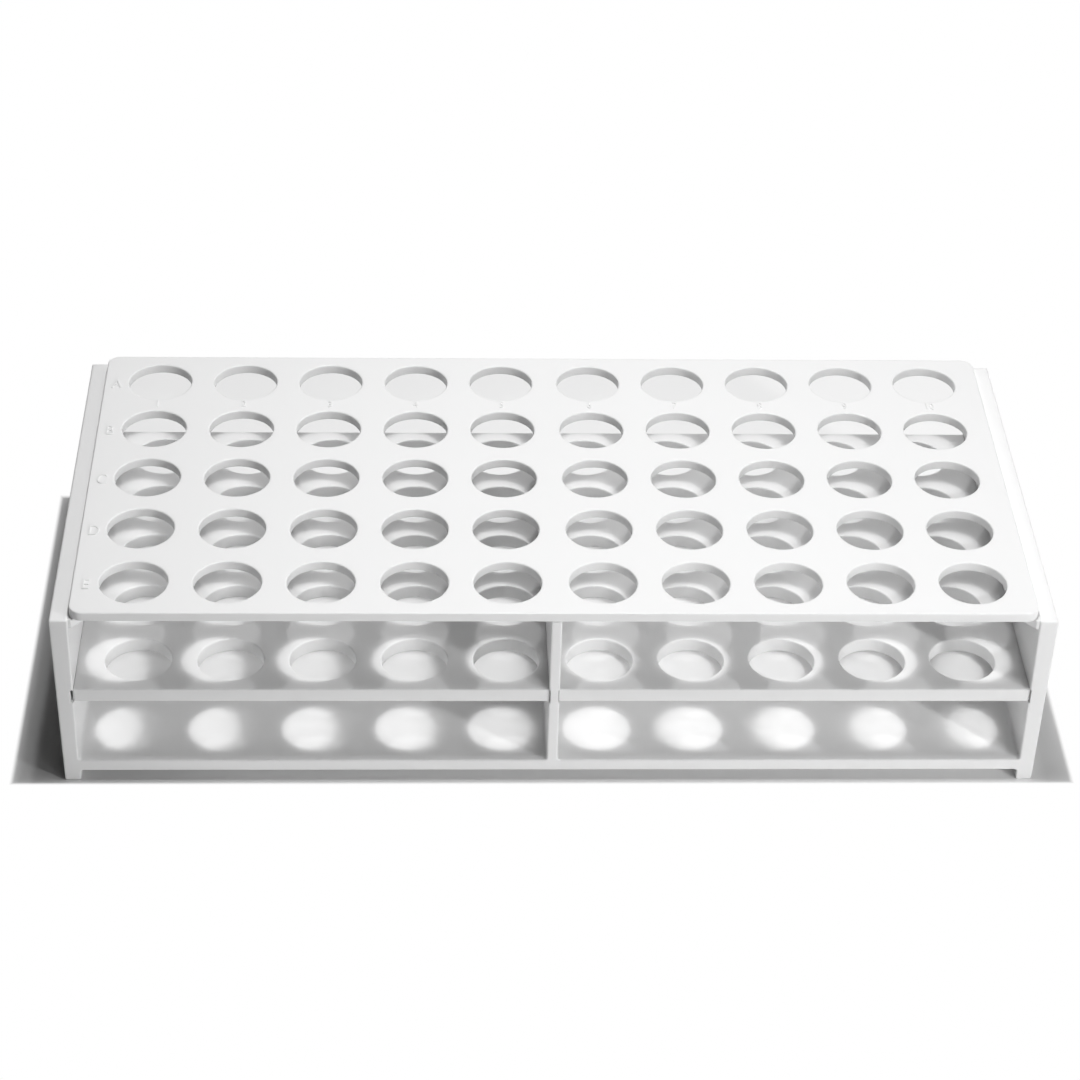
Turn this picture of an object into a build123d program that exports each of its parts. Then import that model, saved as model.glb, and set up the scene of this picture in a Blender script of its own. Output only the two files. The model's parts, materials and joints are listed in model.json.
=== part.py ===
"""Microcentrifuge tube rack: 50 places in 5 rows (A at the back to E) and 10 columns.

A one-piece moulded base carries two end walls, a plain bottom plate, a central
divider and a ledge along the top of each end wall.  The perforated top plate rests
on the ledges and on the divider.  Two perforated shelves slide from the front into
shallow grooves, one on each side of the divider.

Frame: origin at the middle of the footprint on the bench, +X along the ten columns,
+Y to the back row, +Z up.  Millimetres.
"""
import math
import os

from build123d import *

# ---- tube grid ----
COLUMNS = 10                # tube places along X
ROWS = 5                    # tube places along Y
COLUMN_PITCH = 15.0
ROW_PITCH = 14.6
CENTRE_GAP = 0.4            # added between the two halves, over the divider
TUBE_HOLE = 11.0            # diameter in the top plate
HOLE_STEP = 0.2             # shelf holes are smaller by this, to steady the tubes
END_MARGIN = 9.75           # last column's centre to the top plate's end
SIDE_MARGIN = 8.2           # outer row's centre to the front or back face

# ---- heights ----
FOOT_HEIGHT = 2.05          # bench to the bottom plate's underside
FLOOR_THICKNESS = 2.15      # bottom plate
SHELF_HEIGHT = 12.2         # bottom plate's top to the shelf's underside
SHELF_THICKNESS = 2.5
UPPER_BAY_HEIGHT = 14.2     # shelf's top to the top plate's underside
PLATE_THICKNESS = 1.7       # top plate

# ---- end walls and divider ----
WALL_THICKNESS = 3.0        # at the top, where it is thickest
OUTER_DRAFT = 0.6           # degrees, each end wall's outside leans in towards the foot
INNER_DRAFT = 0.4           # degrees, its inside leans out towards the bottom plate
PLATE_SEAT = 0.1            # how far the top plate drops between the end walls
DIVIDER_THICKNESS = 1.75

# ---- ledges under the top plate's ends ----
LEDGE_WIDTH = 2.3
LEDGE_THICKNESS = 1.6
LEDGE_NECK = 0.5            # its width at the front and back, where its corners are cut
LEDGE_CORNER_ROUND = 1.2

# ---- shelves and their grooves ----
SHELF_RECESS = 0.4          # shelf's edge behind the front and back faces
LEFT_GROOVE = 0.5           # groove depth in the left end wall
RIGHT_GROOVE = 0.25         # groove depth in the right end wall
DIVIDER_GROOVE = 0.25       # groove depth in each face of the divider
SHELF_CORNER = 0.4          # plan radius

# ---- fits ----
PLATE_END_GAP = 0.1         # top plate's end to the end wall
SHELF_END_GAP = 0.05        # shelf's end to the bottom of its groove
LEFT_SHELF_GAP = 0.35       # the same at the left shelf's left end, where the slot shows
SHELF_TOP_GAP = 0.1         # over the shelf in its groove

# ---- edges ----
EDGE_ROUND = 0.25           # the base's front and back edges, and the ledges
LONG_EDGE_ROUND = 0.3       # the base's edges that run along Y, and its feet
SHEET_EDGE = 0.2            # plate, shelf and hole edges
INNER_CORNER = 0.5          # coves where walls and divider rise from the bottom plate
PLATE_CORNER = 2.2          # top plate's plan corners

# ---- worked out ----
DEPTH = (ROWS - 1) * ROW_PITCH + 2 * SIDE_MARGIN
GRID_LENGTH = (COLUMNS - 1) * COLUMN_PITCH + CENTRE_GAP
PLATE_LENGTH = GRID_LENGTH + 2 * END_MARGIN
INNER_LENGTH = PLATE_LENGTH + 2 * PLATE_END_GAP
OVERALL_LENGTH = INNER_LENGTH + 2 * WALL_THICKNESS

FLOOR_TOP = FOOT_HEIGHT + FLOOR_THICKNESS
SHELF_BOTTOM = FLOOR_TOP + SHELF_HEIGHT
SHELF_TOP = SHELF_BOTTOM + SHELF_THICKNESS
SEAT_TOP = SHELF_TOP + UPPER_BAY_HEIGHT
WALL_TOP = SEAT_TOP + PLATE_SEAT
SHELF_MIDDLE = (SHELF_BOTTOM + SHELF_TOP) / 2


def wall_inner_x(z):
    """Distance from the middle to an end wall's inner face at height z."""
    return INNER_LENGTH / 2 + (WALL_TOP - z) * math.tan(math.radians(INNER_DRAFT))


def wall_outer_x(z):
    """Distance from the middle to an end wall's outer face at height z."""
    return OVERALL_LENGTH / 2 - (WALL_TOP - z) * math.tan(math.radians(OUTER_DRAFT))


def column_x(column):
    """Centre of a column, counted from 0 at the left."""
    from_middle = column - (COLUMNS - 1) / 2
    return from_middle * COLUMN_PITCH + math.copysign(CENTRE_GAP / 2, from_middle)


def row_y(row):
    """Centre of a row, counted from 0 at the front."""
    return (row - (ROWS - 1) / 2) * ROW_PITCH


def tube_places(columns):
    """Centres of every place in the given columns."""
    return [Location((column_x(c), row_y(r))) for c in columns for r in range(ROWS)]


def end_wall_profile(side):
    """End wall and foot in front view, drafted; side is -1 for left and 1 for right."""
    floor_middle = (FOOT_HEIGHT + FLOOR_TOP) / 2
    corners = [
        (wall_inner_x(WALL_TOP), 0),
        (wall_outer_x(0), 0),
        (wall_outer_x(WALL_TOP), WALL_TOP),
        (wall_inner_x(WALL_TOP), WALL_TOP),
        (wall_inner_x(floor_middle), floor_middle),
        (wall_inner_x(WALL_TOP), floor_middle),
    ]
    return make_face(Polyline(*[(side * x, z) for x, z in corners], close=True))


def box_profile(x_low, x_high, z_low, z_high):
    """Rectangle in front view."""
    centre = Location(((x_low + x_high) / 2, (z_low + z_high) / 2))
    return centre * Rectangle(x_high - x_low, z_high - z_low)


def frame_profile():
    """Front view of the end walls, bottom plate and divider, with rounded corners."""
    reach = (wall_inner_x(0) + wall_outer_x(0)) / 2
    profile = box_profile(-reach, reach, FOOT_HEIGHT, FLOOR_TOP)
    half_divider = DIVIDER_THICKNESS / 2
    profile += box_profile(-half_divider, half_divider, FLOOR_TOP, SEAT_TOP)
    profile += end_wall_profile(-1) + end_wall_profile(1)

    on_floor = [v for v in profile.vertices() if FOOT_HEIGHT - 1 < v.Y < FLOOR_TOP + 1]
    profile = fillet(on_floor, INNER_CORNER)
    free = [v for v in profile.vertices() if v.Y < FOOT_HEIGHT / 4 or v.Y > SHELF_TOP]
    return fillet(free, LONG_EDGE_ROUND)


def ledge(side):
    """Ledge along the top of an end wall's inner face, with cut free corners."""
    root = wall_inner_x(SEAT_TOP)
    into_wall = WALL_THICKNESS / 4
    half = DEPTH / 2 - EDGE_ROUND
    cut = LEDGE_WIDTH - LEDGE_NECK
    outline = [
        (root + into_wall, -half),
        (root - LEDGE_NECK, -half),
        (root - LEDGE_WIDTH, -half + cut),
        (root - LEDGE_WIDTH, half - cut),
        (root - LEDGE_NECK, half),
        (root + into_wall, half),
    ]
    plan = make_face(Polyline(*[(side * x, y) for x, y in outline], close=True))
    cut_ends = [v for v in plan.vertices() if abs(v.X) < root - LEDGE_WIDTH + EDGE_ROUND / 2]
    plan = fillet(cut_ends, LEDGE_CORNER_ROUND)
    bar = extrude(plan, amount=LEDGE_THICKNESS)
    free = [e for e in bar.edges().group_by(Axis.Z)[0] if abs(e.center().X) < root - EDGE_ROUND / 2]
    bar = fillet(free, EDGE_ROUND)
    return Pos(0, 0, SEAT_TOP - LEDGE_THICKNESS) * bar


def groove_span(side):
    """X of the groove bottoms at a shelf's left and right ends."""
    in_divider = DIVIDER_THICKNESS / 2 - DIVIDER_GROOVE
    wall = wall_inner_x(SHELF_MIDDLE)
    if side < 0:
        return -wall - LEFT_GROOVE, -in_divider
    return in_divider, wall + RIGHT_GROOVE


def shelf_grooves(side):
    """Space cut for one shelf's ends, open at the front and stopped at the back."""
    left, right = groove_span(side)
    height = SHELF_THICKNESS + SHELF_TOP_GAP
    front = -DEPTH / 2 - EDGE_ROUND
    back = DEPTH / 2 - SHELF_RECESS
    slot = Box(right - left, back - front, height)
    middle = ((left + right) / 2, (front + back) / 2, SHELF_BOTTOM + height / 2)
    return Pos(*middle) * slot


def base():
    """End walls, bottom plate, divider and ledges, moulded as one."""
    body = extrude(Plane.XZ * frame_profile(), amount=DEPTH / 2, both=True)
    ends = body.faces().sort_by(Axis.Y)
    body = fillet(ends[0].edges() + ends[-1].edges(), EDGE_ROUND)
    for side in (-1, 1):
        body += ledge(side)
        body -= shelf_grooves(side)
    return body


def perforated_sheet(outline, thickness, hole, places):
    """Flat sheet with round holes, every edge rounded."""
    plan = outline - [place * Circle(hole / 2) for place in places]
    sheet = extrude(plan, amount=thickness)
    faces = sheet.faces().sort_by(Axis.Z)
    return fillet(faces[0].edges() + faces[-1].edges(), SHEET_EDGE)


def top_plate():
    """Perforated plate that takes the tubes' rims."""
    outline = RectangleRounded(PLATE_LENGTH, DEPTH, PLATE_CORNER)
    sheet = perforated_sheet(outline, PLATE_THICKNESS, TUBE_HOLE, tube_places(range(COLUMNS)))
    return Pos(0, 0, SEAT_TOP) * sheet


def shelf(side):
    """Perforated shelf that steadies the tubes' bodies on one side of the divider."""
    left, right = groove_span(side)
    left += LEFT_SHELF_GAP if side < 0 else SHELF_END_GAP
    right -= SHELF_END_GAP
    outline = RectangleRounded(right - left, DEPTH - 2 * SHELF_RECESS, SHELF_CORNER)
    outline = Location(((left + right) / 2, 0)) * outline
    half = COLUMNS // 2
    columns = range(half) if side < 0 else range(half, COLUMNS)
    hole = TUBE_HOLE - HOLE_STEP
    sheet = perforated_sheet(outline, SHELF_THICKNESS, hole, tube_places(columns))
    return Pos(0, 0, SHELF_BOTTOM) * sheet


os.makedirs("parts", exist_ok=True)
export_step(base(), "parts/base.step")
export_step(top_plate(), "parts/top_plate.step")
export_step(shelf(-1), "parts/shelf_left.step")
export_step(shelf(1), "parts/shelf_right.step")
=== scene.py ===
# %% [markdown]
# # A microcentrifuge tube rack
# The rack is a plain white moulding of polypropylene: two end walls with feet, a bottom plate,
# a divider, a perforated top plate and two perforated shelves. Their true shapes come from the
# CAD frame. This lesson adds what the frame doesn't hold: the raised letters and numbers that
# index the tube places, the finish of the plastic, the floor, the lamps and the camera.

# %% Load the frame
import json
import math

import bpy
from mathutils import Matrix, Vector


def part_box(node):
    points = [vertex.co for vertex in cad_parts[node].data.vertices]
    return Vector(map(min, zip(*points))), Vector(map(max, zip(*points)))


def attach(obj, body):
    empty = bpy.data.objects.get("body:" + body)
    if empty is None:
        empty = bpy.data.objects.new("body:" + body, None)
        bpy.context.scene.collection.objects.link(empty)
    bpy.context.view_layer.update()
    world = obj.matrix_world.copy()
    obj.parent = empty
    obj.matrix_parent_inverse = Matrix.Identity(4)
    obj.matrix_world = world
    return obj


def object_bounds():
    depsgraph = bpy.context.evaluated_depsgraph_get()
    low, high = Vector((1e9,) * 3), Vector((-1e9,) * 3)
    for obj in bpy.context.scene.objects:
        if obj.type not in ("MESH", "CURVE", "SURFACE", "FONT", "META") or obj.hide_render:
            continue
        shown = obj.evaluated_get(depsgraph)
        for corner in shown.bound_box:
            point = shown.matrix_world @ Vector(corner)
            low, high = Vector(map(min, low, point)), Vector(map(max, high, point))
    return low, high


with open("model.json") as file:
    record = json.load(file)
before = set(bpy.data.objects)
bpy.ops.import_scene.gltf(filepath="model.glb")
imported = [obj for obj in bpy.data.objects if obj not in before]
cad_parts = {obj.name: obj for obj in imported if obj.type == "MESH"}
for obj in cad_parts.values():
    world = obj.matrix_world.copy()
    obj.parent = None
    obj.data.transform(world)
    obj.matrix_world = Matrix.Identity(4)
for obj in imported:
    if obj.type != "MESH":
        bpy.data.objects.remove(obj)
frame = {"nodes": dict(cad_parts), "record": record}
cad_low, cad_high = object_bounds()
MM = 0.001
print("nodes", sorted(frame["nodes"]))
print("CAD box in mm", [round(v / MM, 2) for v in (*cad_low, *cad_high)])

# %% [markdown]
# ## Where the tube places are
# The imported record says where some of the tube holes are: each opening named after a place has
# a box centred on its hole. Reading a few of them gives the pitch both ways and the length of
# a row, so nothing on the rack has to be measured again here.

# %% Read the tube grid from the record
openings = {o["name"]: o["box_m"] for o in frame["record"]["physics"]["openings"]}


def place_centre(name):
    """Middle of a tube place in plan, in metres."""
    low, high = openings["tube_" + name]
    return Vector(((low[0] + high[0]) / 2, (low[1] + high[1]) / 2))


ROW_LETTERS = "ABCDE"
COLUMN_COUNT = 10
back_left = place_centre("A1")
front_left = place_centre("E1")
row_pitch = (back_left.y - front_left.y) / (len(ROW_LETTERS) - 1)
column_pitch = place_centre("C2").x - place_centre("C1").x
row_length = place_centre("C10").x - place_centre("C1").x
print("row pitch", round(row_pitch / MM, 3), "mm")
print("column pitch", round(column_pitch / MM, 3), "mm")

# %% [markdown]
# ## Helpers for node trees
# Every tree below adds nodes with a few properties, and does simple maths on sockets and plain
# numbers.

# %% Node helpers
def node(tree, kind, **settings):
    """Adds a node and sets its properties."""
    made = tree.nodes.new(kind)
    for name, value in settings.items():
        setattr(made, name, value)
    return made


def fill_in(tree, socket, value):
    """Links a socket to another one, or gives it a plain value."""
    if isinstance(value, bpy.types.NodeSocket):
        tree.links.new(value, socket)
    else:
        socket.default_value = value


def maths(tree, operation, *values):
    """Socket with the result of one step of maths on sockets and plain numbers."""
    made = node(tree, "ShaderNodeMath", operation=operation)
    for socket, value in zip(made.inputs, values):
        fill_in(tree, socket, value)
    return made.outputs[0]


print("three helpers are ready")

# %% [markdown]
# ## Raised index marks
# Letters stand beside the rows and numbers stand between the first two rows. On the real plate
# they are cut into the mould, so they stand up from the surface by about a hair's thickness and
# have the plate's own colour. They repeat along a line, so one Geometry Nodes tree makes each
# set: a row of points, one character for each point, filled, given its thickness and placed.
# A For Each Element zone is used because the text differs from point to point, which plain
# instancing of one shape can't give.

# %% Sizes of the marks
LETTER_HEIGHT = 2.7 * MM    # of a capital
NUMBER_HEIGHT = 1.8 * MM
CAP_SHARE = 0.69            # a capital's height as a share of the font's size
LETTER_NARROWING = 0.68     # the mould's characters are narrower than the font's
MARK_RAISE = 0.12 * MM      # above the plate
MARK_SINK = 0.05 * MM       # part of each character that is buried in the plate
WELD = 0.001 * MM           # points closer than this become one
print("letters", LETTER_HEIGHT / MM, "mm high, numbers", NUMBER_HEIGHT / MM, "mm")

# %% [markdown]
# The tree is built in parts: the text at a step, the solid character, and its place on the
# line. The last one opens a gap in the middle, because the plate's two halves lie a little
# further apart than two columns.

# %% Parts of the tree
def text_at_step(tree, inputs, index, numbered):
    """Socket with the text of a step: its number from 1 up, or its letter."""
    if numbered:
        text = node(tree, "FunctionNodeValueToString")
        tree.links.new(maths(tree, "ADD", index, 1), text.inputs["Value"])
    else:
        text = node(tree, "FunctionNodeSliceString")
        text.inputs["Length"].default_value = 1
        tree.links.new(inputs.outputs["Characters"], text.inputs["String"])
        tree.links.new(index, text.inputs["Position"])
    return text.outputs["String"]


def solid_text(tree, inputs, text):
    """Socket with a closed solid of the text, standing on its own origin."""
    link = tree.links.new
    outlines = node(tree, "GeometryNodeStringToCurves", align_x="CENTER", align_y="MIDDLE")
    link(text, outlines.inputs["String"])
    link(maths(tree, "DIVIDE", inputs.outputs["Height"], CAP_SHARE), outlines.inputs["Size"])
    joined = node(tree, "GeometryNodeRealizeInstances")
    link(outlines.outputs["Curve Instances"], joined.inputs["Geometry"])
    fill = node(tree, "GeometryNodeFillCurve", mode="TRIANGLES")
    link(joined.outputs["Geometry"], fill.inputs["Curve"])
    raised = node(tree, "GeometryNodeExtrudeMesh", mode="FACES")
    raised.inputs["Individual"].default_value = False
    link(fill.outputs["Mesh"], raised.inputs["Mesh"])
    link(inputs.outputs["Thickness"], raised.inputs["Offset Scale"])
    # The filled outline is used again, turned over, as the underside.
    underside = node(tree, "GeometryNodeFlipFaces")
    link(fill.outputs["Mesh"], underside.inputs["Mesh"])
    both = node(tree, "GeometryNodeJoinGeometry")
    link(raised.outputs["Mesh"], both.inputs["Geometry"])
    link(underside.outputs["Mesh"], both.inputs["Geometry"])
    closed = node(tree, "GeometryNodeMergeByDistance")
    closed.inputs["Distance"].default_value = WELD
    link(both.outputs["Geometry"], closed.inputs["Geometry"])
    return closed.outputs["Geometry"]


def put_in_place(tree, inputs, index, place, solid):
    """Socket with the solid narrowed and moved to its place on the line."""
    link = tree.links.new
    past_middle = node(tree, "FunctionNodeCompare", data_type="INT", operation="GREATER_EQUAL")
    link(index, past_middle.inputs["A"])
    link(maths(tree, "DIVIDE", inputs.outputs["Count"], 2), past_middle.inputs["B"])
    gap = maths(tree, "MULTIPLY", past_middle.outputs["Result"], inputs.outputs["Middle Gap"])
    shift = node(tree, "ShaderNodeCombineXYZ")
    link(gap, shift.inputs["X"])
    spot = node(tree, "ShaderNodeVectorMath", operation="ADD")
    link(place, spot.inputs[0])
    link(shift.outputs["Vector"], spot.inputs[1])
    narrow = node(tree, "ShaderNodeCombineXYZ")
    for axis, value in (("X", inputs.outputs["Narrowing"]), ("Y", 1), ("Z", 1)):
        fill_in(tree, narrow.inputs[axis], value)
    moved = node(tree, "GeometryNodeTransform")
    link(solid, moved.inputs["Geometry"])
    link(narrow.outputs["Vector"], moved.inputs["Scale"])
    link(spot.outputs["Vector"], moved.inputs["Translation"])
    return moved.outputs["Geometry"]


print("three parts are ready")

# %% [markdown]
# The whole tree puts the three parts in a zone that runs once for each point of a line.

# %% Geometry Nodes tree for a line of characters
def mark_tree(name, numbered):
    """Tree that writes one character, or one number, at each step of a line."""
    tree = bpy.data.node_groups.new(name, "GeometryNodeTree")
    face = tree.interface
    face.new_socket("Geometry", in_out="OUTPUT", socket_type="NodeSocketGeometry")
    for title, kind in (
        ("Count", "NodeSocketInt"),
        ("Start", "NodeSocketVector"),
        ("Step", "NodeSocketVector"),
        ("Middle Gap", "NodeSocketFloat"),
        ("Height", "NodeSocketFloat"),
        ("Narrowing", "NodeSocketFloat"),
        ("Thickness", "NodeSocketFloat"),
        ("Characters", "NodeSocketString"),
        ("Material", "NodeSocketMaterial"),
    ):
        face.new_socket(title, in_out="INPUT", socket_type=kind)
    link = tree.links.new
    inputs = node(tree, "NodeGroupInput")
    output = node(tree, "NodeGroupOutput")

    line = node(tree, "GeometryNodeMeshLine", mode="OFFSET")
    link(inputs.outputs["Count"], line.inputs["Count"])
    link(inputs.outputs["Start"], line.inputs["Start Location"])
    link(inputs.outputs["Step"], line.inputs["Offset"])

    zone_in = node(tree, "GeometryNodeForeachGeometryElementInput")
    zone_out = node(tree, "GeometryNodeForeachGeometryElementOutput", domain="POINT")
    zone_in.pair_with_output(zone_out)
    zone_out.input_items.new("VECTOR", "Place")
    link(line.outputs["Mesh"], zone_in.inputs["Geometry"])
    link(node(tree, "GeometryNodeInputPosition").outputs["Position"], zone_in.inputs["Place"])

    index, place = zone_in.outputs["Index"], zone_in.outputs["Place"]
    text = text_at_step(tree, inputs, index, numbered)
    solid = solid_text(tree, inputs, text)
    link(put_in_place(tree, inputs, index, place, solid), zone_out.inputs["Geometry"])

    # The zone passes on the line first and what was made on it second.
    _line, characters = (out for out in zone_out.outputs if out.name == "Geometry")
    finished = node(tree, "GeometryNodeRealizeInstances")
    link(characters, finished.inputs["Geometry"])
    painted = node(tree, "GeometryNodeSetMaterial")
    link(finished.outputs["Geometry"], painted.inputs["Geometry"])
    link(inputs.outputs["Material"], painted.inputs["Material"])
    link(painted.outputs["Geometry"], output.inputs["Geometry"])
    return tree


letter_tree = mark_tree("letters_down_a_side", numbered=False)
number_tree = mark_tree("numbers_along_a_row", numbered=True)
for tree in (letter_tree, number_tree):
    print("tree", tree.name, "with", len(tree.nodes), "nodes")

# %% [markdown]
# ## The plastic's surface
# A moulded polypropylene surface is never quite flat or even: it has a very fine satin grain
# from the mould, slow waves where it shrank, and slightly different sheen from place to place.
# All the pieces share this effect, so it is one shader node group with named inputs, and each
# material places it with its own values. Everything reads Object coordinates, so the pattern
# sits still in the plastic.

# %% Shader group shared by every piece
WAVE_DETAIL = 2     # how many finer layers lie in the waves
GRAIN_DETAIL = 3    # and in the grain


def satin_group():
    """Node group: uneven colour, uneven roughness and a fine height for moulded plastic."""
    tree = bpy.data.node_groups.new("moulded_satin", "ShaderNodeTree")
    face = tree.interface
    face.new_socket("Tone", in_out="INPUT", socket_type="NodeSocketColor")
    for title, value in (
        ("Tone Drift", 0.02),
        ("Roughness", 0.42),
        ("Roughness Drift", 0.05),
        ("Grain Size", 0.35 * MM),
        ("Wave Size", 14 * MM),
        ("Wave Share", 0.5),
    ):
        socket = face.new_socket(title, in_out="INPUT", socket_type="NodeSocketFloat")
        socket.default_value = value
    face.new_socket("Color", in_out="OUTPUT", socket_type="NodeSocketColor")
    face.new_socket("Roughness", in_out="OUTPUT", socket_type="NodeSocketFloat")
    face.new_socket("Height", in_out="OUTPUT", socket_type="NodeSocketFloat")
    link = tree.links.new
    inputs = node(tree, "NodeGroupInput")
    output = node(tree, "NodeGroupOutput")
    place = node(tree, "ShaderNodeTexCoord")

    def noise(size_socket, detail):
        """Noise whose features are about as large as the named input says."""
        field = node(tree, "ShaderNodeTexNoise")
        field.inputs["Detail"].default_value = detail
        link(place.outputs["Object"], field.inputs["Vector"])
        link(maths(tree, "DIVIDE", 1, inputs.outputs[size_socket]), field.inputs["Scale"])
        return field.outputs["Fac"]

    def drift(value, spread_socket):
        """Turns noise from 0..1 into a factor round 1 with the named spread."""
        centred = maths(tree, "SUBTRACT", value, 0.5)
        return maths(tree, "MULTIPLY_ADD", centred, inputs.outputs[spread_socket], 1)

    wave = noise("Wave Size", WAVE_DETAIL)
    grain = noise("Grain Size", GRAIN_DETAIL)

    tone = node(tree, "ShaderNodeVectorMath", operation="SCALE")
    link(inputs.outputs["Tone"], tone.inputs[0])
    link(drift(wave, "Tone Drift"), tone.inputs["Scale"])
    link(tone.outputs["Vector"], output.inputs["Color"])

    rough_drift = drift(grain, "Roughness Drift")
    rough = maths(tree, "MULTIPLY", inputs.outputs["Roughness"], rough_drift)
    link(rough, output.inputs["Roughness"])

    height = node(tree, "ShaderNodeMix", data_type="FLOAT")
    link(inputs.outputs["Wave Share"], height.inputs["Factor"])
    link(grain, height.inputs["A"])
    link(wave, height.inputs["B"])
    link(height.outputs["Result"], output.inputs["Height"])
    return tree


satin = satin_group()
print("shader group", satin.name, "with", len(satin.nodes), "nodes")

# %% [markdown]
# ## One plastic, three mouldings
# The base, the plate and the shelves come from three moulds, so each gets its own material:
# the same white resin with slightly different tone and polish. The raised marks repeat the
# plate's values. A mould's corners aren't quite sharp, so a Bevel node softens the shading
# along every edge, and less on the fine marks. Values that are the same all over, such as the
# index of refraction, are set on the shader itself.

# %% Materials
RESIN_IOR = 1.49
LIGHT_SHARE = 0.2           # how much of the light goes into the resin and out again,
LIGHT_DEPTH = 1.0 * MM      # and how far it wanders inside
EVERY_COLOUR = (1, 1, 1)    # red, green and blue wander equally far
EDGE_RADIUS = 0.25 * MM
MARK_EDGE_RADIUS = 0.03 * MM
EDGE_SAMPLES = 4
RELIEF_DEPTH = 0.02 * MM    # of the waves and the grain
# Each plastic's tone, roughness, wave size, strength of relief and edge radius.
PLASTICS = {
    "base_plastic": (0.90, 0.38, 16 * MM, 0.25, EDGE_RADIUS),
    "plate_plastic": (0.90, 0.40, 22 * MM, 0.20, EDGE_RADIUS),
    "mark_plastic": (0.90, 0.40, 22 * MM, 0.20, MARK_EDGE_RADIUS),
    "shelf_plastic": (0.875, 0.37, 12 * MM, 0.25, EDGE_RADIUS),
}


def plastic(name, tone, roughness, wave_size, strength, edge_radius):
    """White polypropylene with the shared satin effect and edges that aren't quite sharp."""
    material = bpy.data.materials.new(name)
    material.use_nodes = True
    tree = material.node_tree
    link = tree.links.new
    shader = tree.nodes["Principled BSDF"]
    shader.inputs["IOR"].default_value = RESIN_IOR
    shader.inputs["Subsurface Weight"].default_value = LIGHT_SHARE
    shader.inputs["Subsurface Radius"].default_value = EVERY_COLOUR
    shader.inputs["Subsurface Scale"].default_value = LIGHT_DEPTH
    effect = node(tree, "ShaderNodeGroup", node_tree=satin)
    effect.inputs["Tone"].default_value = (tone, tone, tone, 1)
    effect.inputs["Roughness"].default_value = roughness
    effect.inputs["Wave Size"].default_value = wave_size
    rounded = node(tree, "ShaderNodeBevel", samples=EDGE_SAMPLES)
    rounded.inputs["Radius"].default_value = edge_radius
    relief = node(tree, "ShaderNodeBump")
    relief.inputs["Strength"].default_value = strength
    relief.inputs["Distance"].default_value = RELIEF_DEPTH
    link(effect.outputs["Color"], shader.inputs["Base Color"])
    link(effect.outputs["Roughness"], shader.inputs["Roughness"])
    link(effect.outputs["Height"], relief.inputs["Height"])
    link(rounded.outputs["Normal"], relief.inputs["Normal"])
    link(relief.outputs["Normal"], shader.inputs["Normal"])
    return material


plastics = {name: plastic(name, *values) for name, values in PLASTICS.items()}
for name, material_name in (
    ("base", "base_plastic"),
    ("top_plate", "plate_plastic"),
    ("shelf_left", "shelf_plastic"),
    ("shelf_right", "shelf_plastic"),
):
    slots = frame["nodes"][name].data.materials
    slots.clear()
    slots.append(plastics[material_name])
    print(name, "is finished in", material_name)

# %% [markdown]
# ## Put the marks on the plate
# The letters stand on the narrow land between the plate's left end and the first column, level
# with the rows. The numbers stand in the land between rows A and B, one for each column.

# %% Letters and numbers
LETTER_FROM_COLUMN = 7.6 * MM      # a letter's middle to the first column's centres
LETTER_BEFORE_ROW = 0.8 * MM       # and how far in front of its row's centres it is
NUMBER_BEFORE_ROW = 7.1 * MM       # a number's middle in front of row A's centres
_plate_low, plate_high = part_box("top_plate")
mark_z = plate_high.z - MARK_SINK


def raised_marks(name, tree, values):
    """Runs a mark tree once and keeps the result as a plain mesh."""
    piece = bpy.data.objects.new(name, bpy.data.meshes.new(name))
    bpy.context.scene.collection.objects.link(piece)
    nodes = piece.modifiers.new("marks", "NODES")
    nodes.node_group = tree
    for socket in tree.interface.items_tree:
        if socket.in_out == "INPUT" and socket.name in values:
            nodes[socket.identifier] = values[socket.name]
    graph = bpy.context.evaluated_depsgraph_get()
    mesh = bpy.data.meshes.new_from_object(piece.evaluated_get(graph))
    piece.modifiers.clear()
    piece.data = mesh
    mesh.name = name
    # The mesh has an empty slot before its material, so its slots are set afresh.
    mesh.materials.clear()
    mesh.materials.append(values["Material"])
    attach(piece, "root")
    print(name, "has", len(mesh.polygons), "faces")


shared = {
    "Thickness": MARK_RAISE + MARK_SINK,
    "Narrowing": LETTER_NARROWING,
    "Material": plastics["mark_plastic"],
}
raised_marks("row_letters", letter_tree, {
    **shared,
    "Count": len(ROW_LETTERS),
    "Height": LETTER_HEIGHT,
    "Characters": ROW_LETTERS,
    "Start": (back_left.x - LETTER_FROM_COLUMN, back_left.y - LETTER_BEFORE_ROW, mark_z),
    "Step": (0.0, -row_pitch, 0.0),
})
raised_marks("column_numbers", number_tree, {
    **shared,
    "Count": COLUMN_COUNT,
    "Height": NUMBER_HEIGHT,
    "Middle Gap": row_length - (COLUMN_COUNT - 1) * column_pitch,
    "Start": (back_left.x, back_left.y - NUMBER_BEFORE_ROW, mark_z),
    "Step": (column_pitch, 0.0, 0.0),
})

# %% [markdown]
# ## Floor and surroundings
# The rack stands on a plain pale surface. Under the rack, in its shadow on both sides and just
# behind it the floor keeps its own tone and its shadows. Past the ends of these two patches it
# turns white, as on a lit table. The white is drawn for camera rays only, so the plastic is
# lit by an ordinary pale floor. In front of and under the rack, shade is painted into the
# floor's tone: darker towards the left end and a little darker past the right end.

# %% Values of the floor
FLOOR_SIZE = 3.0
FLOOR_TONE = 0.92
LEFT_PAINTED_SHADE_TONE = 0.66                       # tone of the painted shade near the rack's left end
LEFT_SHADE_START = -90 * MM                  # the left painted shade is full here
LEFT_SHADE_END = -50 * MM                    # and gone here
RIGHT_PAINTED_SHADE_SHARE = 0.75                     # of the tone is left past the rack's right end, as painted shade,
RIGHT_SHADE_START = 78 * MM                  # falling from here
RIGHT_SHADE_END = 83 * MM                    # to here
SHADE_BACK_START = 38 * MM                   # both painted shades fade away behind the rack from here
SHADE_BACK_END = 60 * MM                     # to here
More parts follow.
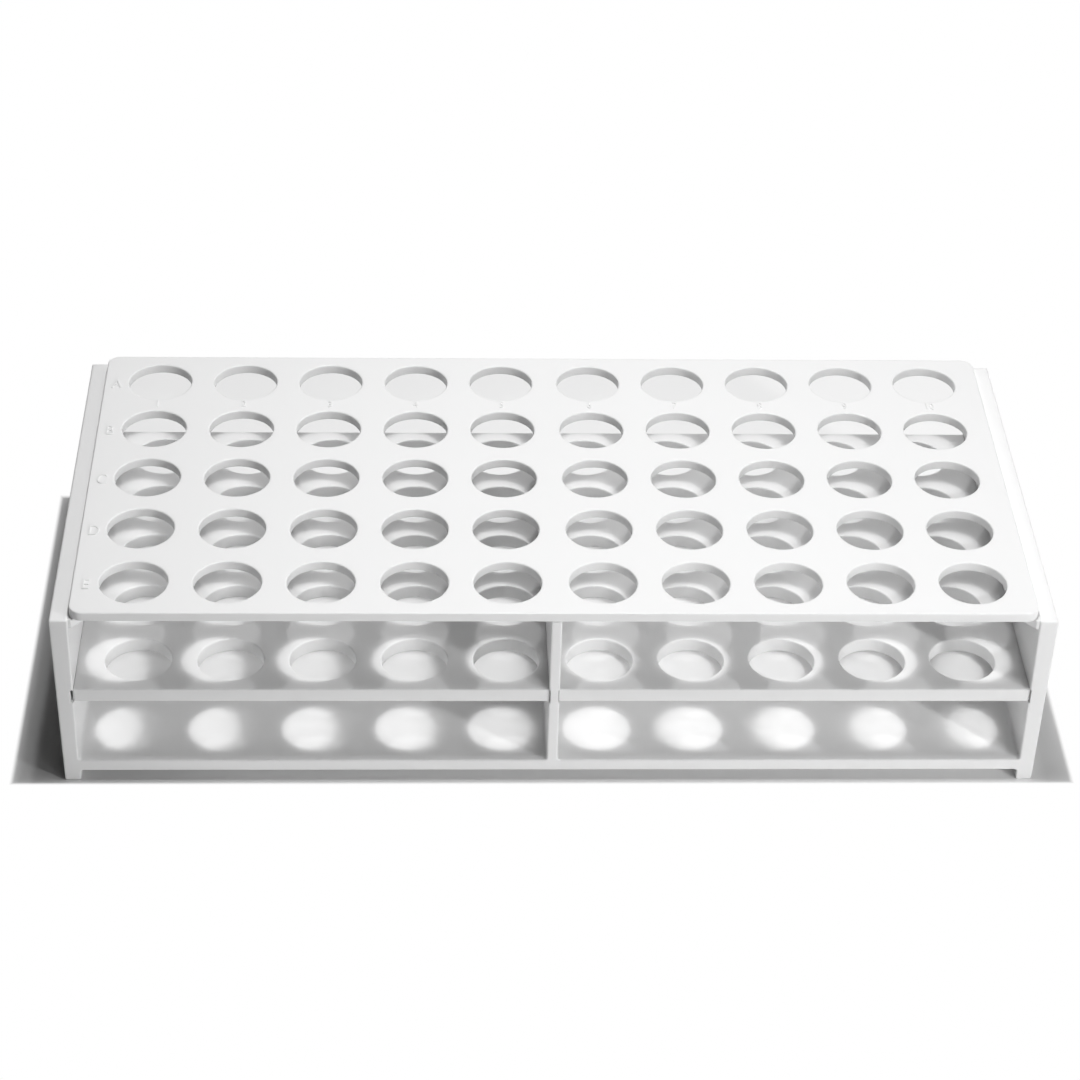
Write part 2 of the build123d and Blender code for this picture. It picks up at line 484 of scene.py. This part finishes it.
# Each toned patch of the floor: its left, right, front and back ends, and how white it stays.
PATCHES = {
    "under_and_beside": (-88.9 * MM, 86.9 * MM, -38.3 * MM, 43.0 * MM, 0),
    "just_behind": (-84.0 * MM, 88.5 * MM, 0, 90.0 * MM, 0.4),
}
# How softly a patch ends at each of the same four sides.
SOFTNESS = (1.0 * MM, 1.0 * MM, 0.8 * MM, 1.5 * MM)
FULL_WHITE = 1.0                       # strength at which white is drawn as white
print("toned patches", ", ".join(PATCHES))

# %% [markdown]
# The floor's tone with its painted shade, and its whiteness, are all made of ramps along its two
# axes.

# %% Tone, painted shade and whiteness of the floor
def ramp(tree, axes, axis, start, end, first=0, last=1, kind="LINEAR"):
    """Socket that goes from one value to another between two places on an axis."""
    climb = node(tree, "ShaderNodeMapRange", interpolation_type=kind)
    climb.inputs["From Min"].default_value = start
    climb.inputs["From Max"].default_value = end
    climb.inputs["To Min"].default_value = first
    climb.inputs["To Max"].default_value = last
    tree.links.new(axes.outputs[axis], climb.inputs["Value"])
    return climb.outputs["Result"]


def outside_patch(tree, axes, patch):
    """Socket that is 1 outside a patch and as white as the patch stays on it."""
    left, right, front, back, least = patch
    at_left, at_right, at_front, at_back = SOFTNESS
    outside = least
    for axis, end, softness in (
        ("X", left, -at_left),
        ("X", right, at_right),
        ("Y", front, -at_front),
        ("Y", back, at_back),
    ):
        fade = ramp(tree, axes, axis, end - softness / 2, end + softness / 2, kind="SMOOTHSTEP")
        outside = maths(tree, "MAXIMUM", outside, fade)
    return outside


def tone_with_painted_shade(tree, axes):
    """Socket with the floor's tone, with shade painted in at both ends of the rack."""
    # Painted shade: the tone drops towards the left end and, by a share, past the right end.
    behind = ramp(tree, axes, "Y", SHADE_BACK_START, SHADE_BACK_END)
    out_of_left_shade = maths(tree, "MAXIMUM", ramp(tree, axes, "X", LEFT_SHADE_START, LEFT_SHADE_END), behind)
    right_shade_ramp = ramp(tree, axes, "X", RIGHT_SHADE_START, RIGHT_SHADE_END, 1, RIGHT_PAINTED_SHADE_SHARE)
    right_shade_factor = maths(tree, "MAXIMUM", right_shade_ramp, behind)
    tone = node(tree, "ShaderNodeMapRange")
    tone.inputs["To Min"].default_value = LEFT_PAINTED_SHADE_TONE
    tone.inputs["To Max"].default_value = FLOOR_TONE
    tree.links.new(out_of_left_shade, tone.inputs["Value"])
    return maths(tree, "MULTIPLY", tone.outputs["Result"], right_shade_factor)


print("tone from", LEFT_PAINTED_SHADE_TONE, "to", FLOOR_TONE)

# %% [markdown]
# The floor's material mixes a matt surface with plain white, which only the camera sees.

# %% Floor
def floor_material():
    """Pale matt floor whose surroundings are white for camera rays."""
    material = bpy.data.materials.new("pale_floor")
    material.use_nodes = True
    tree = material.node_tree
    link = tree.links.new
    tree.nodes.remove(tree.nodes["Principled BSDF"])
    place = node(tree, "ShaderNodeTexCoord")
    axes = node(tree, "ShaderNodeSeparateXYZ")
    link(place.outputs["Object"], axes.inputs["Vector"])
    matt = node(tree, "ShaderNodeBsdfDiffuse")
    link(tone_with_painted_shade(tree, axes), matt.inputs["Color"])
    white = node(tree, "ShaderNodeEmission")
    white.inputs["Strength"].default_value = FULL_WHITE
    patches = [outside_patch(tree, axes, patch) for patch in PATCHES.values()]
    whiteness = maths(tree, "MINIMUM", *patches)
    path = node(tree, "ShaderNodeLightPath")
    either = node(tree, "ShaderNodeMixShader")
    seen = maths(tree, "MULTIPLY", whiteness, path.outputs["Is Camera Ray"])
    link(seen, either.inputs["Fac"])
    link(matt.outputs["BSDF"], either.inputs[1])
    link(white.outputs["Emission"], either.inputs[2])
    link(either.outputs["Shader"], tree.nodes["Material Output"].inputs["Surface"])
    return material


floor_mesh = bpy.data.meshes.new("floor")
half = FLOOR_SIZE / 2
floor_mesh.from_pydata(
    [(-half, -half, 0), (half, -half, 0), (half, half, 0), (-half, half, 0)], [], [(0, 1, 2, 3)]
)
floor = bpy.data.objects.new("floor", floor_mesh)
bpy.context.scene.collection.objects.link(floor)
floor_mesh.materials.append(floor_material())
print("floor is", FLOOR_SIZE, "m across")

# %% [markdown]
# ## Lamps
# Two lamps hang at one place over the front row, a small one inside a wide one. Together they
# throw a patch of light with a crisp middle and a soft rim through every hole. A third lamp, a
# small one high behind the rack, throws a second crisp pattern through the holes. It is turned
# away to the right, so that the left end gets less of it. A small lamp and a wide one, low at
# the front right, fill the open front, and because they are near, the right end is lit more
# than the left. Two wide lamps behind the rack brighten its top.

# %% Places and powers of the lamps
centre = (cad_low + cad_high) / 2
KEY_HEIGHT = 365 * MM              # above the top plate
KEY_RIGHT = 8 * MM                 # to the right of the middle
KEY_BEHIND_ROW = 1.2 * MM          # behind the front row's centres
# Width in metres and watts of each key lamp, and of the lamp high behind the rack.
KEY_LAMPS = {"key_core": (0.026, 0.43), "key_rim": (0.09, 0.47)}
CRISP_BACK = (0.03, 0.41)
CRISP_BACK_PLACE = Vector((-23, 172, 400)) * MM
CRISP_BACK_AIM = Vector((640, -28, 0)) * MM
# Each lamp round the rack, turned towards its middle: degrees to the right of straight ahead,
# degrees of rise, distance and width in metres, and watts.
ROUND_LAMPS = {
    "crisp_fill": (48.7, 24, 0.48, 0.03, 0.68),
    "wide_fill": (28, 10, 0.50, 0.20, 0.48),
    "back_lamp": (180, 30, 0.90, 0.50, 0.65),
    "back_right_lamp": (140, 40, 0.90, 0.50, 0.65),
}
print("lamps", len(KEY_LAMPS) + 1 + len(ROUND_LAMPS))

# %% [markdown]
# Every lamp is a round disc at a place, turned towards a point.

# %% Lamps
def area_lamp(name, place, aim, width, power):
    """Round area lamp at a place, turned towards a point."""
    lamp = bpy.data.lights.new(name, "AREA")
    lamp.shape = "DISK"
    lamp.size = width
    lamp.energy = power
    holder = bpy.data.objects.new(name, lamp)
    bpy.context.scene.collection.objects.link(holder)
    holder.location = place
    holder.rotation_mode = "QUATERNION"
    holder.rotation_quaternion = (aim - place).to_track_quat("-Z", "Y")
    print(name, [round(v, 3) for v in place], power, "W")


key_place = Vector((KEY_RIGHT, front_left.y + KEY_BEHIND_ROW, plate_high.z + KEY_HEIGHT))
below_key = Vector((key_place.x, key_place.y, 0))
for name, (width, power) in KEY_LAMPS.items():
    area_lamp(name, key_place, below_key, width, power)
area_lamp("crisp_back", CRISP_BACK_PLACE, CRISP_BACK_AIM, *CRISP_BACK)
for name, (direction, rise, distance, width, power) in ROUND_LAMPS.items():
    turn, lift = math.radians(direction), math.radians(rise)
    ray = Vector((
        math.sin(turn) * math.cos(lift),
        -math.cos(turn) * math.cos(lift),
        math.sin(lift),
    ))
    area_lamp(name, centre + ray * distance, centre, width, power)

# %% [markdown]
# The surroundings are white for the camera, and give no light of their own.

# %% World
WHITE = (1, 1, 1, 1)
world = bpy.data.worlds.new("pale_room")
bpy.context.scene.world = world
world.use_nodes = True
path = node(world.node_tree, "ShaderNodeLightPath")
backdrop = world.node_tree.nodes["Background"]
backdrop.inputs["Color"].default_value = WHITE
world.node_tree.links.new(path.outputs["Is Camera Ray"], backdrop.inputs["Strength"])
print("world", world.name)

# %% [markdown]
# ## Camera
# The rack is seen from the front, a little to the left of its middle and from well above, with
# the camera turned by a degree or two about its own axis. The distance and the long lens set
# how quickly the rows close up towards the back.

# %% Camera
VIEW_TURN = math.radians(2.79)     # the line of sight leans to the right
VIEW_DROP = math.radians(36.27)    # and down
VIEW_ROLL = math.radians(-1.77)    # the camera's own turn about that line
VIEW_DISTANCE = 507 * MM
AIM_OFFSET = Vector((-1.0, 6.0, 0)) * MM    # from the rack's middle to the point aimed at
LENS = 96.92                       # in millimetres, as Blender counts it,
SENSOR_WIDTH = 36                  # and so is this

sight = Vector((
    math.sin(VIEW_TURN) * math.cos(VIEW_DROP),
    math.cos(VIEW_TURN) * math.cos(VIEW_DROP),
    -math.sin(VIEW_DROP),
))
level_right = Vector((math.cos(VIEW_TURN), -math.sin(VIEW_TURN), 0))
level_down = sight.cross(level_right)
right = level_right * math.cos(VIEW_ROLL) + level_down * math.sin(VIEW_ROLL)
down = level_down * math.cos(VIEW_ROLL) - level_right * math.sin(VIEW_ROLL)
camera = bpy.data.objects.new("camera", bpy.data.cameras.new("camera"))
bpy.context.scene.collection.objects.link(camera)
camera.data.lens = LENS
camera.data.sensor_width = SENSOR_WIDTH
turn = Matrix((right, -down, -sight)).transposed()
stand = Matrix.Translation(centre + AIM_OFFSET - sight * VIEW_DISTANCE)
camera.matrix_world = stand @ turn.to_4x4()
bpy.context.scene.camera = camera
bpy.context.scene.view_settings.view_transform = "Standard"
print("camera at", [round(v, 4) for v in camera.matrix_world.translation])
